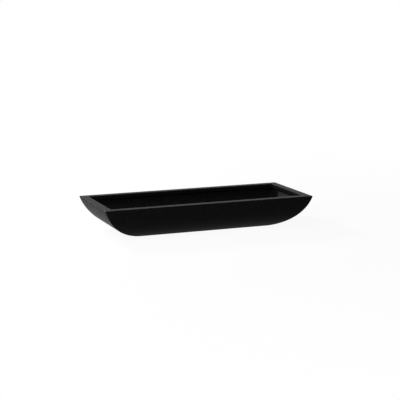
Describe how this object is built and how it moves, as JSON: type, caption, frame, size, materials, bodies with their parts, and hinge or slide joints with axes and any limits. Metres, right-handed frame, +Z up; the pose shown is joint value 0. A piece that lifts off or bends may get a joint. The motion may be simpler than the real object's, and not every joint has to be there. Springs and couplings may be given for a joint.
{
  "type": "planter",
  "caption": "Low rectangular boat-shaped planter with curved walls, a wide flat rim with an inner lip, lift-out drain plugs and rubber feet.",
  "frame": {"origin": "on the ground, in the middle of the part's footprint, level with the undersides of the feet", "axes": "+X along the length, +Y from the front long wall to the back one, +Z up"},
  "size_m": [0.6, 0.245, 0.0885],
  "materials": {
    "stone_shell": "stone-filled resin, painted matt black with a soft satin sheen",
    "fibre_lining": "glass-fibre laminate sealed matt black, faint strand texture",
    "rim_filler": "raw stone-filled resin paste, hidden inside the rim",
    "rubber": "moulded matt black rubber"
  },
  "bodies": {
    "pot": {"shell": "stone_shell", "fibre_lining": "fibre_lining", "rim_filler": "rim_filler", "foot_front_left": "rubber", "foot_front_right": "rubber", "foot_back_left": "rubber", "foot_back_right": "rubber"},
    "left_plug": {"drain_plug_left": "rubber"},
    "right_plug": {"drain_plug_right": "rubber"}
  },
  "joints": [
    {"name": "left_plug_lift", "type": "slide", "parent": "pot", "child": "left_plug", "axis": [0, 0, 1], "range_m": [0, 0.1]},
    {"name": "right_plug_lift", "type": "slide", "parent": "pot", "child": "right_plug", "axis": [0, 0, 1], "range_m": [0, 0.1]}
  ]
}
